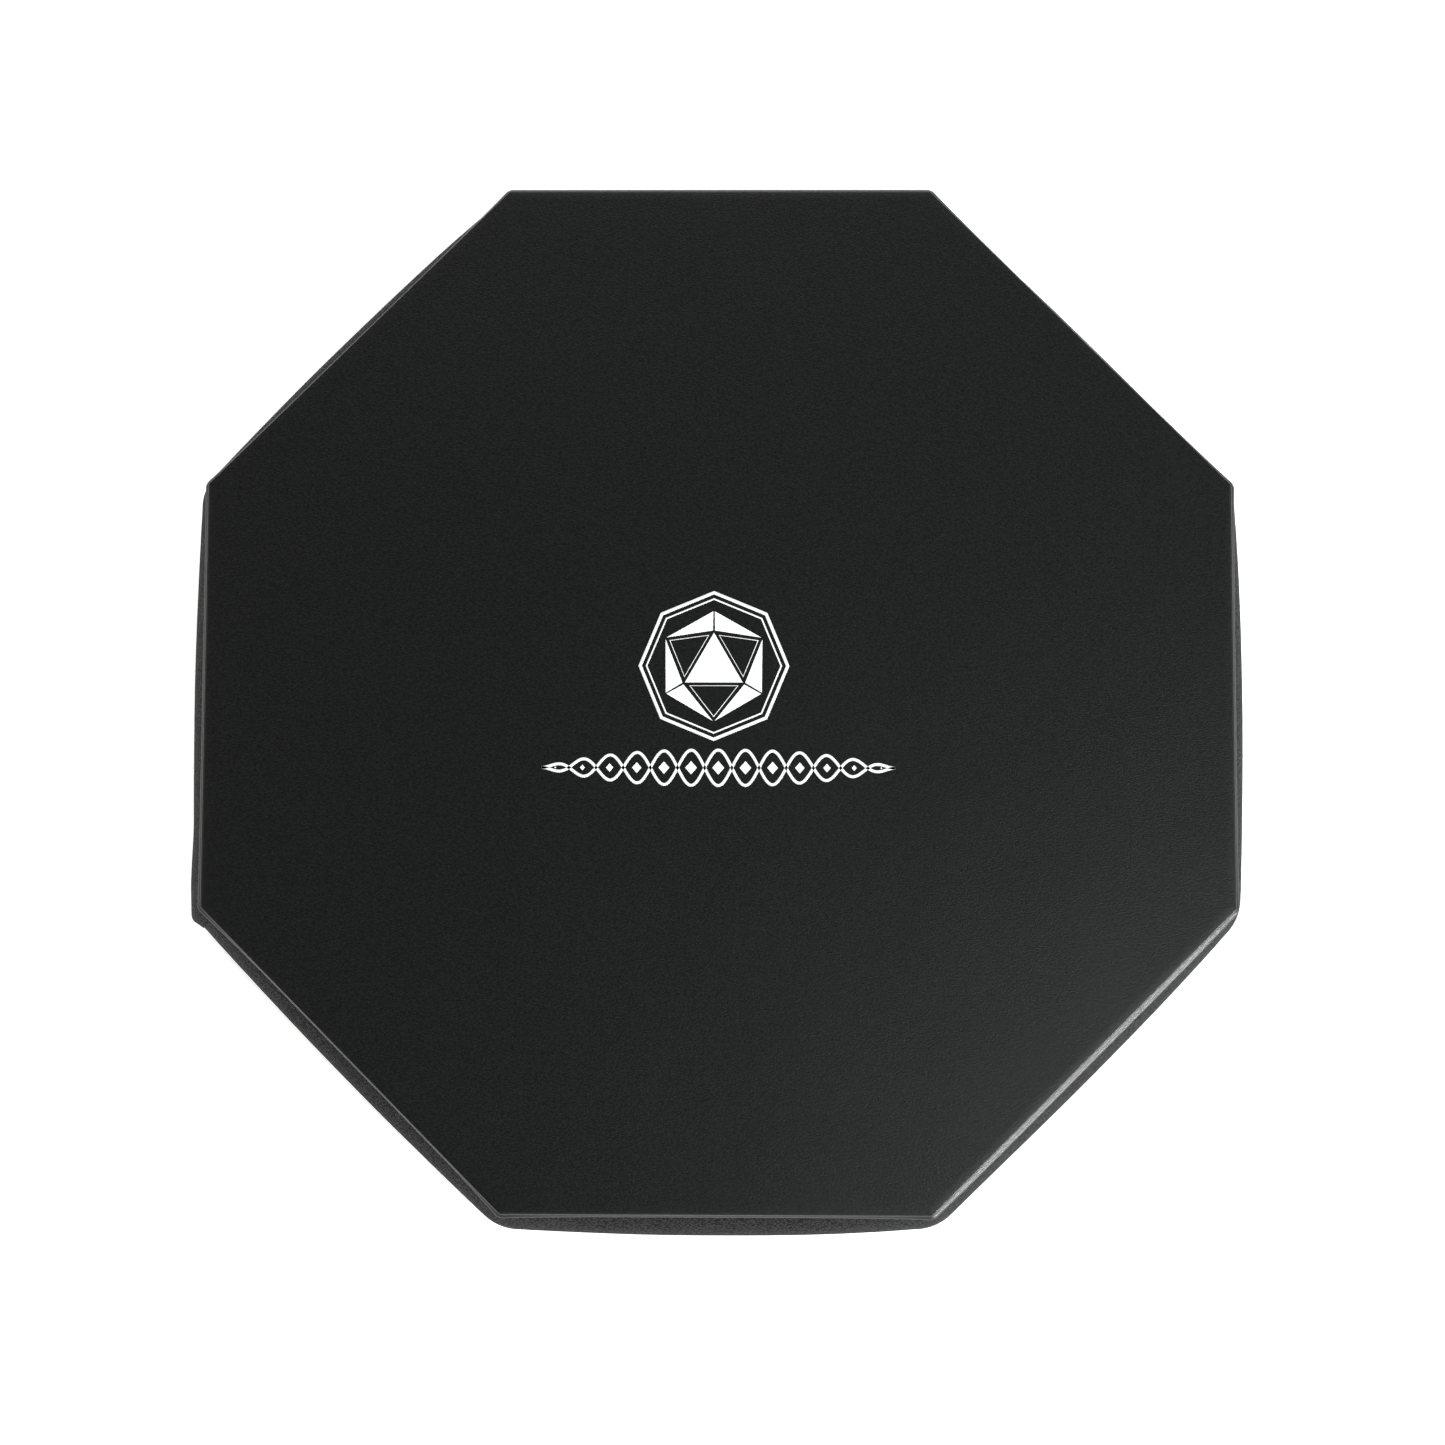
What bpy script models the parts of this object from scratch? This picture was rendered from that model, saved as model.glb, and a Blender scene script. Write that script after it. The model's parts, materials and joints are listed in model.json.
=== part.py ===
"""Octagonal dice and game tray with a lift-off lid.

Eight padded, leatherette-covered walls stand round a flat base. Inside, an octagonal divider makes a
rolling area in the middle, and eight partitions make a ring of compartments round it. The lid is a flat
covered board with a velvet pad under it, which drops just inside the walls.

Frame: metres, +Z up, origin at the middle of the underside, front side facing -Y.
A "reach" is the distance from the middle to a side, which is half of the size across flats.
"""

import math

import bmesh
import bpy

MM = 0.001
SIDES = 8
HALF_SIDE = math.pi / SIDES  # half of the angle that one side takes up

# Driving sizes of the tray
WALL_REACH = 150.6 * MM  # to the outer faces of the wall boards
TRAY_HEIGHT = 39.8 * MM  # from the table to the top of the rim
WALL_THICK = 3.0 * MM
BASE_THICK = 3.0 * MM
BASE_COVER_THICK = 0.8 * MM
PEBBLED_THICK = 0.9 * MM  # the wall's leatherette
VELVET_THICK = 0.8 * MM
WALL_BULGE = 4.2 * MM  # how far the padding swells beyond the rim, at a corner
WALL_BOW = 1.4 * MM  # how much further it swells halfway along a side
BULGE_CORNER = 16.0 * MM  # radius of the wall's upright corners where it is widest
RIM_CORNER = 3.0 * MM  # radius of the same corners at the rim
RIM_ROUND = 1.5 * MM  # radius of the leatherette over the rim's outer edge
RIM_SLACK = 0.4 * MM  # how loosely the leatherette passes the board's outer edge
FOLD_ROUND = 1.3 * MM  # radius of the leatherette over the rim's inner edge
FOLD_LAP = 6.5 * MM  # how far the wall's lining covers the fold
LAP_THICK = 0.7 * MM
LAP_BEFORE = 17.0 * MM  # how far before the corner the lapped end starts, along the left side
LAP_AFTER = 8.0 * MM  # how far past the corner it ends, beyond the wall's own curve
LAP_CORNER = 4.0 * MM  # radius of its outer face, which turns more sharply than the wall under it

# Driving sizes of what stands in the tray
ROLLING_REACH = 101.9 * MM  # to the inner faces of the divider
DIVIDER_THICK = 2.4 * MM
DIVIDER_COVER_THICK = 0.8 * MM
PARTITION_THICK = 2.4 * MM
ROLLING_FOAM_THICK = 2.0 * MM
ROLLING_MAT_THICK = 1.0 * MM
STAGING_MAT_THICK = 2.0 * MM

# Driving sizes of the lid
SMOOTH_THICK = 0.8 * MM  # the lid's leatherette
LID_BOARD_THICK = 2.0 * MM
LID_INSET = 0.2 * MM  # the lid's top outline lies this far inside the rim's outer face
LID_FLARE = 1.0 * MM  # and its lower crease this far outside its top outline
LID_CORNER = 1.6 * MM
LID_EDGE_ROUND = 0.9 * MM
LID_CREASE_ROUND = 0.5 * MM
LID_HEM = 12.0 * MM
LID_PAD_THICK = 3.0 * MM
LINING_ROUND = 1.2 * MM
LINING_CORNER = 2.0 * MM

# Clearances
GAP = 0.3 * MM  # between pieces that touch
MAT_PLAY = 0.4 * MM  # round a mat that lies loose between boards
LID_PLAY = 1.2 * MM  # round the lid's pad inside the rim
LID_CLEARANCE = 0.6 * MM  # from the divider's top to the lid's lining

# How finely curves are divided
CORNER_STEPS = 4
FACE_STEPS = 8
ROUND_STEPS = 2
SHARPEST_CORNER = 0.2 * MM
SWELL_POWER = 1.6  # 1 would be a ridge halfway up, and higher powers are fuller near the rims

# Reaches that follow, from the outside in
RIM_REACH = WALL_REACH + GAP + PEBBLED_THICK + RIM_SLACK
PADDING_INNER = WALL_REACH + GAP
WALL_INNER = WALL_REACH - WALL_THICK
FOLD_OUTER = WALL_INNER - GAP
FOLD_INNER = FOLD_OUTER - PEBBLED_THICK
LINING_OUTER = FOLD_INNER - GAP
LINING_INNER = LINING_OUTER - VELVET_THICK
DIVIDER_COVER_INNER = ROLLING_REACH
DIVIDER_INNER = DIVIDER_COVER_INNER + DIVIDER_COVER_THICK + GAP
DIVIDER_OUTER = DIVIDER_INNER + DIVIDER_THICK
DIVIDER_COVER_OUTER = DIVIDER_OUTER + GAP + DIVIDER_COVER_THICK
LID_TOP_REACH = RIM_REACH - LID_INSET
LID_CREASE_REACH = LID_TOP_REACH + LID_FLARE
LID_BOARD_REACH = LID_TOP_REACH - SMOOTH_THICK - GAP
LID_HEM_END = LID_BOARD_REACH - LID_HEM
LID_LINING_REACH = FOLD_INNER - LID_PLAY
LID_PAD_REACH = LID_LINING_REACH - VELVET_THICK - GAP

# Heights that follow, from the table up
HEM_LOW = BASE_COVER_THICK + GAP
WALL_LOW = HEM_LOW + PEBBLED_THICK + GAP
WALL_HIGH = TRAY_HEIGHT - PEBBLED_THICK - GAP
FLOOR = HEM_LOW + BASE_THICK + GAP  # where the inner pieces stand
LID_LOW = TRAY_HEIGHT + GAP
LID_PAD_LOW = LID_LOW - GAP - LID_PAD_THICK
LID_LINING_LOW = LID_PAD_LOW - GAP - VELVET_THICK
DIVIDER_COVER_HIGH = LID_LINING_LOW - LID_CLEARANCE
DIVIDER_HIGH = DIVIDER_COVER_HIGH - DIVIDER_COVER_THICK - GAP
LINING_HIGH = LID_LINING_LOW - LID_PLAY
FOLD_END = LINING_HIGH - FOLD_LAP
FACE_LOW = HEM_LOW + RIM_ROUND
FACE_HIGH = TRAY_HEIGHT - RIM_ROUND

# Finishes: colour, roughness
SMOOTH_LEATHERETTE = ((0.021, 0.022, 0.022), 0.55)
PEBBLED_LEATHERETTE = ((0.018, 0.018, 0.018), 0.5)
VELVET = ((0.024, 0.024, 0.028), 0.95)
FOAM = ((0.16, 0.16, 0.17), 0.9)
FIBREBOARD = ((0.36, 0.25, 0.15), 0.8)
GREY_CARD = ((0.30, 0.29, 0.27), 0.85)


def clear_scene():
    for old in list(bpy.data.objects):
        bpy.data.objects.remove(old)


def make_material(name, finish):
    colour, roughness = finish
    material = bpy.data.materials.new(name)
    material.use_nodes = True
    shader = material.node_tree.nodes["Principled BSDF"]
    shader.inputs["Base Color"].default_value = (*colour, 1.0)
    shader.inputs["Roughness"].default_value = roughness
    shader.inputs["Metallic"].default_value = 0.0
    return material


def make_mesh(name, shape, finish):
    """Turns a bmesh into a mesh with its own material, faces out, with smooth curves and sharp edges."""
    bmesh.ops.recalc_face_normals(shape, faces=shape.faces)
    mesh = bpy.data.meshes.new(name)
    shape.to_mesh(mesh)
    shape.free()
    mesh.materials.append(make_material(name, finish))
    mesh.shade_smooth()
    mesh.set_sharp_from_angle(angle=math.radians(35))
    return mesh


def place(name, mesh, parent, height=0.0, turn=0.0):
    """Adds an object for this mesh, this far above its parent and turned about the upright axis."""
    piece = bpy.data.objects.new(name, mesh)
    piece.parent = parent
    piece.location.z = height
    piece.rotation_euler.z = turn
    bpy.context.scene.collection.objects.link(piece)


def place_round(name, mesh, parent, height, first_turn=0.0):
    """Adds one object per side, counterclockwise from the side or corner at the right."""
    for side in range(SIDES):
        place(f"{name}_{side + 1}", mesh, parent, height, first_turn + side * 2 * HALF_SIDE)


def add_group(name, height):
    group = bpy.data.objects.new(name, None)
    group.location.z = height
    bpy.context.scene.collection.objects.link(group)
    return group


def polar(radius, angle):
    return radius * math.cos(angle), radius * math.sin(angle)


def corner_curve(reach, corner, middle, start, end, steps):
    """Points on an upright corner's curve. The corner's middle faces the middle angle."""
    centre_x, centre_y = polar((reach - corner) / math.cos(HALF_SIDE), middle)
    points = []
    for step in range(steps + 1):
        x, y = polar(corner, start + (end - start) * step / steps)
        points.append((centre_x + x, centre_y + y))
    return points


def side_points(side, reach, corner, bow=0.0, side_steps=1):
    """One side, from the middle of a corner to the middle of the next: half a corner, the straight or
    bowed stretch, and half a corner."""
    facing = side * 2 * HALF_SIDE
    half_steps = CORNER_STEPS // 2
    before = facing - HALF_SIDE
    after = facing + HALF_SIDE
    points = corner_curve(reach, corner, before, before, facing, half_steps)
    for step in range(1, side_steps):
        points.append(point_on_side(facing, reach, corner, bow, 2 * step / side_steps - 1))
    return points + corner_curve(reach, corner, after, facing, after, half_steps)


def point_on_side(facing, reach, corner, bow, share):
    """A point on a side, where share is -1 and 1 at the ends of the stretch between two corner curves."""
    out = reach + bow * (1 - share * share)
    along = share * (reach - corner) * math.tan(HALF_SIDE)
    out_x, out_y = polar(out, facing)
    along_x, along_y = polar(along, facing + math.pi / 2)
    return out_x + along_x, out_y + along_y


def octagon(reach, corner, bow=0.0, side_steps=1):
    points = []
    for side in range(SIDES):
        points += side_points(side, reach, corner, bow, side_steps)[:-1]
    return points


def sharp_octagon(reach):
    return [polar(reach / math.cos(HALF_SIDE), (2 * side + 1) * HALF_SIDE) for side in range(SIDES)]


def side_ends(reach, cut):
    """The two ends of the side that faces right, each this far from its corner's middle plane."""
    half = reach * math.tan(HALF_SIDE) - cut / math.cos(HALF_SIDE)
    return (reach, -half), (reach, half)


def at_height(points, height):
    return [(x, y, height) for x, y in points]


def loft(layers, joined=False):
    """A solid whose surface runs through layers of equally many points. A joined one returns to its first
    layer, and any other ends in a flat face at each end."""
    shape = bmesh.new()
    rows = [[shape.verts.new(point) for point in layer] for layer in layers]
    following = rows[1:] + rows[:1] if joined else rows[1:]
    for row, next_row in zip(rows, following):
        for here in range(len(row)):
            there = (here + 1) % len(row)
            shape.faces.new((row[here], row[there], next_row[there], next_row[here]))
    if not joined:
        shape.faces.new(rows[0])
        shape.faces.new(rows[-1])
    return shape


def slab(points, thick):
    """A flat outline extruded upward."""
    shape = bmesh.new()
    face = shape.faces.new([shape.verts.new((x, y, 0.0)) for x, y in points])
    grown = bmesh.ops.extrude_face_region(shape, geom=[face])["geom"]
    top = [item for item in grown if isinstance(item, bmesh.types.BMVert)]
    bmesh.ops.translate(shape, verts=top, vec=(0.0, 0.0, thick))
    return shape


def round_off(reach, height, radius, start, end):
    """Points of a section's quarter curve, as (reach, height), between two angles in degrees."""
    points = []
    for step in range(ROUND_STEPS + 1):
        out, up = polar(radius, math.radians(start + (end - start) * step / ROUND_STEPS))
        points.append((reach + out, height + up))
    return points


def inside_of(section, thick):
    """A section's line moved this far to its left, which is the inner face of a sheet that follows it."""
    moved = []
    last = len(section) - 1
    for index, (reach, height) in enumerate(section):
        before = section[max(index - 1, 0)]
        after = section[min(index + 1, last)]
        into = math.atan2(height - before[1], reach - before[0]) if index else None
        out_of = math.atan2(after[1] - height, after[0] - reach) if index < last else None
        into = out_of if into is None else into
        out_of = into if out_of is None else out_of
        bend = math.remainder(out_of - into, 2 * math.pi)
        side_way = into + bend / 2 + math.pi / 2
        out, up = polar(thick / math.cos(bend / 2), side_way)
        moved.append((reach + out, height + up))
    return moved


def swell_at(height):
    """How much of the padding's full swell the wall's face has at this height, from 0 to 1."""
    middle = (FACE_LOW + FACE_HIGH) / 2
    share = abs(height - middle) / (FACE_HIGH - FACE_LOW) * 2
    return max(0.0, 1 - share**SWELL_POWER)


def wall_corner(reach, swell):
    """The upright corners' radius, on or under the wall's surface at this much swell."""
    surface_corner = RIM_CORNER + (BULGE_CORNER - RIM_CORNER) * swell
    depth = RIM_REACH + WALL_BULGE * swell - reach
    return max(SHARPEST_CORNER, surface_corner - depth)


def wall_layer(reach, height, swell):
    points = octagon(reach, wall_corner(reach, swell), WALL_BOW * swell, side_steps=4)
    return at_height(points, height)


def face_points():
    """The padded face between its two rims, as (reach, height)."""
    points = []
    for step in range(1, FACE_STEPS):
        height = FACE_LOW + (FACE_HIGH - FACE_LOW) * step / FACE_STEPS
        points.append((RIM_REACH + WALL_BULGE * swell_at(height), height))
    return points


def wall_cover_section():
    """The outer line of the wall's leatherette, as (reach, height), and the swell at each of its points:
    out along the hem, up the padded face, in over the rim and down the fold."""
    edge = RIM_REACH - RIM_ROUND
    below = [(WALL_INNER, HEM_LOW)] + round_off(edge, FACE_LOW, RIM_ROUND, -90, 0)
    face = face_points()
    above = round_off(edge, FACE_HIGH, RIM_ROUND, 0, 90)
    above += round_off(FOLD_INNER + FOLD_ROUND, TRAY_HEIGHT - FOLD_ROUND, FOLD_ROUND, 90, 180)
    above.append((FOLD_INNER, FOLD_END))
    swells = [0.0] * len(below) + [swell_at(height) for _, height in face] + [0.0] * len(above)
    return below + face + above, swells


def make_wall_cover():
    line, swells = wall_cover_section()
    inner = inside_of(line, PEBBLED_THICK)
    layers = [wall_layer(*point, swell) for point, swell in zip(line, swells)]
    layers += [wall_layer(*point, swell) for point, swell in zip(reversed(inner), reversed(swells))]
    return make_mesh("wall_cover", loft(layers, joined=True), PEBBLED_LEATHERETTE)


def make_wall_padding():
    """Foam for the side that faces right: flat against the board, swollen outward, mitred at both ends."""
    layers = []
    for surface_reach, height in face_points():
        swell = swell_at(height)
        reach = surface_reach - PEBBLED_THICK - GAP
        outer = side_points(0, reach, wall_corner(reach, swell), WALL_BOW * swell, side_steps=4)
        cut = GAP / 2 / math.cos(HALF_SIDE)
        outer[0] = (outer[0][0], outer[0][1] + cut)
        outer[-1] = (outer[-1][0], outer[-1][1] - cut)
        low_end, high_end = side_ends(PADDING_INNER, GAP / 2)
        layers.append(at_height(outer + [high_end, low_end], height))
    return make_mesh("wall_padding", loft(layers), FOAM)


def lap_line(reach, corner, bow):
    """The lapped end seen from above: along one side, round the corner and just past it."""
    straight = (reach - corner) * math.tan(HALF_SIDE)
    half_side = reach * math.tan(HALF_SIDE)
    start = point_on_side(-HALF_SIDE, reach, corner, bow, (half_side - LAP_BEFORE) / straight)
    curve = corner_curve(reach, corner, 0.0, -HALF_SIDE, HALF_SIDE, CORNER_STEPS)
    end = point_on_side(HALF_SIDE, reach, corner, bow, (LAP_AFTER - half_side) / straight)
    return [start] + curve + [end]


def make_wall_cover_lap():
    """The lapped strip, built with its corner facing right."""
    layers = []
    for surface_reach, height in face_points():
        swell = swell_at(height)
        under = surface_reach + GAP
        outer = lap_line(under + LAP_THICK, LAP_CORNER, WALL_BOW * swell)
        inner = lap_line(under, wall_corner(under, swell), WALL_BOW * swell)
        layers.append(at_height(outer + inner[::-1], height))
    return make_mesh("wall_cover_lap", loft(layers), PEBBLED_LEATHERETTE)


def make_mitred_board(name, inner_reach, outer_reach, thick, finish):
    """A board for the side that faces right, mitred at both ends."""
    inner_low, inner_high = side_ends(inner_reach, GAP / 2)
    outer_low, outer_high = side_ends(outer_reach, GAP / 2)
    return make_mesh(name, slab([inner_low, outer_low, outer_high, inner_high], thick), finish)


def make_octagonal_sheet(name, reach, thick, finish):
    return make_mesh(name, slab(sharp_octagon(reach), thick), finish)


def make_octagonal_ring(name, section, finish):
    """A ring with sharp corners through a closed section of (reach, height) points."""
    layers = [at_height(sharp_octagon(reach), height) for reach, height in section]
    return make_mesh(name, loft(layers, joined=True), finish)


def make_wall_lining():
    tall = LINING_HIGH - FLOOR
    section = [(LINING_INNER, 0.0), (LINING_OUTER, 0.0), (LINING_OUTER, tall), (LINING_INNER, tall)]
    return make_octagonal_ring("wall_lining", section, VELVET)


def make_divider_cover():
    """An upside-down channel over the divider's boards."""
    tall = DIVIDER_COVER_HIGH - FLOOR
    under = tall - DIVIDER_COVER_THICK
    inner_leg = DIVIDER_COVER_INNER + DIVIDER_COVER_THICK
    outer_leg = DIVIDER_COVER_OUTER - DIVIDER_COVER_THICK
    section = [(DIVIDER_COVER_INNER, 0.0), (DIVIDER_COVER_INNER, tall), (DIVIDER_COVER_OUTER, tall)]
    section += [(DIVIDER_COVER_OUTER, 0.0), (outer_leg, 0.0), (outer_leg, under)]
    section += [(inner_leg, under), (inner_leg, 0.0)]
    return make_octagonal_ring("divider_cover", section, SMOOTH_LEATHERETTE)


def make_partition():
    """A board from the divider's corner to the wall lining's corner, built along +X."""
    start = DIVIDER_COVER_OUTER / math.cos(HALF_SIDE) + GAP
    end = (LINING_INNER - PARTITION_THICK / 2 * math.sin(HALF_SIDE)) / math.cos(HALF_SIDE) - GAP
    half = PARTITION_THICK / 2
    outline = [(start, -half), (end, -half), (end, half), (start, half)]
    return make_mesh("partition", slab(outline, DIVIDER_COVER_HIGH - FLOOR), VELVET)


def make_staging_mat():
    """The floor of the compartment that faces right, between two partitions."""
    inner = DIVIDER_COVER_OUTER + MAT_PLAY
    outer = LINING_INNER - MAT_PLAY
    room = PARTITION_THICK / 2 + MAT_PLAY
    inner_low, inner_high = side_ends(inner, room)
    outer_low, outer_high = side_ends(outer, room)
    outline = [inner_low, outer_low, outer_high, inner_high]
    return make_mesh("staging_mat", slab(outline, STAGING_MAT_THICK), VELVET)


def lid_layer(reach, height):
    corner = max(SHARPEST_CORNER, LID_CORNER + reach - LID_CREASE_REACH)
    return at_height(octagon(reach, corner), height)


def make_lid_cover():
    """Leatherette over the lid board, with a flared edge and a hem turned in. Heights are from the rim."""
    top = SMOOTH_THICK + GAP + LID_BOARD_THICK + GAP + SMOOTH_THICK
    crease = round_off(LID_CREASE_REACH - LID_CREASE_ROUND, LID_CREASE_ROUND, LID_CREASE_ROUND, -90, 0)
    edge = round_off(LID_TOP_REACH - LID_EDGE_ROUND, top - LID_EDGE_ROUND, LID_EDGE_ROUND, 0, 90)
    hem = [(LID_HEM_END, 0.0)] + crease
    hem_inside = [(LID_HEM_END, SMOOTH_THICK), (LID_BOARD_REACH + GAP, SMOOTH_THICK)]
    under_top = [(LID_BOARD_REACH + GAP, top - SMOOTH_THICK)]
    line = (hem + edge)[::-1] + hem_inside + under_top
    return make_mesh("lid_cover", loft([lid_layer(*point) for point in line]), SMOOTH_LEATHERETTE)


def make_lid_lining():
    """A shallow velvet cup round the lid's pad. Heights are from its underside."""
    tall = LID_LOW - GAP - LID_LINING_LOW
    edge = round_off(LID_LINING_REACH - LINING_ROUND, LINING_ROUND, LINING_ROUND, -90, 0)
    inner = LID_LINING_REACH - VELVET_THICK
    line = edge + [(LID_LINING_REACH, tall), (inner, tall), (inner, VELVET_THICK)]
    layers = []
    for reach, height in line:
        corner = max(SHARPEST_CORNER, LINING_CORNER + reach - LID_LINING_REACH)
        layers.append(at_height(octagon(reach, corner), height))
    return make_mesh("lid_lining", loft(layers), VELVET)


def build_tray(tray):
    base_cover = make_octagonal_sheet("base_cover", WALL_REACH, BASE_COVER_THICK, PEBBLED_LEATHERETTE)
    place("base_cover", base_cover, tray)
    base_board = make_octagonal_sheet("base_board", WALL_INNER - GAP, BASE_THICK, FIBREBOARD)
    place("base_board", base_board, tray, HEM_LOW)
    wall_board = make_mitred_board("wall_board", WALL_INNER, WALL_REACH, WALL_HIGH - WALL_LOW, FIBREBOARD)
    place_round("wall_board", wall_board, tray, WALL_LOW)
    place_round("wall_padding", make_wall_padding(), tray, 0.0)
    place("wall_cover", make_wall_cover(), tray)
    place("wall_cover_lap", make_wall_cover_lap(), tray, turn=9 * HALF_SIDE)
    place("wall_lining", make_wall_lining(), tray, FLOOR)


def build_compartments(tray):
    foam_reach = DIVIDER_COVER_INNER - MAT_PLAY
    rolling_foam = make_octagonal_sheet("rolling_foam", foam_reach, ROLLING_FOAM_THICK, FOAM)
    place("rolling_foam", rolling_foam, tray, FLOOR)
    rolling_mat = make_octagonal_sheet("rolling_mat", foam_reach, ROLLING_MAT_THICK, VELVET)
    place("rolling_mat", rolling_mat, tray, FLOOR + ROLLING_FOAM_THICK + GAP)
    tall = DIVIDER_HIGH - FLOOR
    divider_board = make_mitred_board("divider_board", DIVIDER_INNER, DIVIDER_OUTER, tall, FIBREBOARD)
    place_round("divider_board", divider_board, tray, FLOOR)
    place("divider_cover", make_divider_cover(), tray, FLOOR)
    place_round("partition", make_partition(), tray, FLOOR, first_turn=HALF_SIDE)
    place_round("staging_mat", make_staging_mat(), tray, FLOOR)


def build_lid(lid):
    place("lid_cover", make_lid_cover(), lid)
    lid_board = make_octagonal_sheet("lid_board", LID_BOARD_REACH, LID_BOARD_THICK, GREY_CARD)
    place("lid_board", lid_board, lid, SMOOTH_THICK + GAP)
    card = make_octagonal_sheet("lid_filler_card", LID_HEM_END - GAP, SMOOTH_THICK, GREY_CARD)
    place("lid_filler_card", card, lid)
    lid_pad = make_octagonal_sheet("lid_pad", LID_PAD_REACH, LID_PAD_THICK, FOAM)
    place("lid_pad", lid_pad, lid, LID_PAD_LOW - LID_LOW)
    place("lid_lining", make_lid_lining(), lid, LID_LINING_LOW - LID_LOW)


clear_scene()
tray_group = add_group("tray", 0.0)
lid_group = add_group("lid", LID_LOW)
build_tray(tray_group)
build_compartments(tray_group)
build_lid(lid_group)
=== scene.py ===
# %% [markdown]
# # A lidded octagonal game tray
#
# A shallow eight-sided box for rolling dice. Its lid is a flat board wrapped in smooth leatherette, and its
# wall is padded with foam and wrapped in pebbled leatherette. Inside are a velvet rolling area and a ring of
# eight compartments, an inside that is assumed and not copied from a real tray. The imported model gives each
# piece's size and place, so the first step is to load it and to read the few sizes that the finished skins
# are built from.

# %% Load the frame and read its sizes
import json
import math

import bmesh
import bpy
import numpy as np
from mathutils import Matrix, Vector, noise


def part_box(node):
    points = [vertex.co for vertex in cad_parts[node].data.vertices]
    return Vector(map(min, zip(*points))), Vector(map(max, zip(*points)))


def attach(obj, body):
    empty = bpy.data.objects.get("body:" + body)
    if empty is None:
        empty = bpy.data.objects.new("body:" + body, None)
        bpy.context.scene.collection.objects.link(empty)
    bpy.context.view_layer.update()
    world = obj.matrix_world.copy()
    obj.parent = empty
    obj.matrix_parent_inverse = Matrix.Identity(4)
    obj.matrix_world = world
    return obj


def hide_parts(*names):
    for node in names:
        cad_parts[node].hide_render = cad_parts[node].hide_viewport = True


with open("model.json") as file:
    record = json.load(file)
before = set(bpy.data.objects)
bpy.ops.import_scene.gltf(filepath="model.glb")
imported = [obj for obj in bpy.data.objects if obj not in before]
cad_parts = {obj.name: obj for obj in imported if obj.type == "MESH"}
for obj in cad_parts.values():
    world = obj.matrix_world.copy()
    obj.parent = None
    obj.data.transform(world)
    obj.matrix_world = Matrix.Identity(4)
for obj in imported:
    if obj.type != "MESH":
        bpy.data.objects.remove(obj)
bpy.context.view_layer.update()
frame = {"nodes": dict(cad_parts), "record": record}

MM = 0.001
SIDES = 8
HALF_SIDE = math.pi / SIDES
SIDE_NAMES = ("right", "back_right", "back", "back_left", "left", "front_left", "front", "front_right")

board_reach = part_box("wall_board_1")[1].x
board_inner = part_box("wall_board_1")[0].x
hem_low, rim_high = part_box("wall_cover")[0].z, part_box("wall_cover")[1].z
lid_low, lid_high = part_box("lid_cover")[0].z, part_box("lid_cover")[1].z
lid_board_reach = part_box("lid_board")[1].x
print(f"wall boards reach {board_reach / MM:.1f} mm")
print(f"rim at {rim_high / MM:.1f} mm, lid top at {lid_high / MM:.1f} mm")

# %% [markdown]
# ## Going round an octagon
#
# Every skin here goes round the same eight sides. One way is to draw each outline by hand, and another is to
# bevel a plain prism. A third way suits skins whose corners change radius with height: write any point as
# `(reach - corner) * B + corner * D + bow * W`. B is where the corner's centre, or a place along the side,
# lies for a reach of one. D is the way the surface faces, and W is how much of the side's bow it gets.
# B, D and W are the same for every height, so they are worked out once, and a whole skin is one formula.

# %% Stations round the octagon
class Stations:
    """Places round an octagon, counterclockwise, with rounded corners and straight or bowed sides."""

    def __init__(self, corner_steps, side_steps):
        base, way, bow, side_of, share_of = [], [], [], [], []
        for side in range(SIDES):
            facing = side * 2 * HALF_SIDE
            normal = np.array((math.cos(facing), math.sin(facing)))
            along = np.array((-normal[1], normal[0]))
            before = [(-1.0, facing - HALF_SIDE * (1 - i / corner_steps)) for i in range(corner_steps)]
            straight = [(2 * i / side_steps - 1, facing) for i in range(side_steps + 1)]
            after = [(1.0, facing + HALF_SIDE * (i + 1) / corner_steps) for i in range(corner_steps - 1)]
            for share, angle in before + straight + after:
                base.append(normal + share * math.tan(HALF_SIDE) * along)
                way.append((math.cos(angle), math.sin(angle)))
                bow.append((1 - share * share) * normal)
                side_of.append(side)
                share_of.append(share)
        self.base, self.way, self.bow = np.array(base), np.array(way), np.array(bow)
        self.side, self.share = np.array(side_of), np.array(share_of)
        self.turn = np.arctan2(self.way[:, 1], self.way[:, 0])

    def row(self, reach, height, corner, bow=0.0):
        """One closed row of points. Each value is a number, or an array with one number per station."""
        count = len(self.side)
        reach, corner, bow = (np.broadcast_to(np.asarray(v, float), count) for v in (reach, corner, bow))
        flat = (reach - corner)[:, None] * self.base + corner[:, None] * self.way + bow[:, None] * self.bow
        return np.column_stack((flat, np.broadcast_to(height, count)))


fine = Stations(corner_steps=8, side_steps=44)
print(f"{len(fine.side)} stations round the outer skins")

# %% [markdown]
# ## From rows to a closed skin
#
# A row is a closed loop of points, and neighbouring rows are joined by quads. A ring returns to its first
# row. A lid or a mat ends in a flat face at each end. Sheets need two faces, so a helper moves a section's
# line sideways by the sheet's thickness, as an offset in a drawing program does.

# %% Helpers for skins
SHARP_EDGE = math.radians(40)


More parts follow.
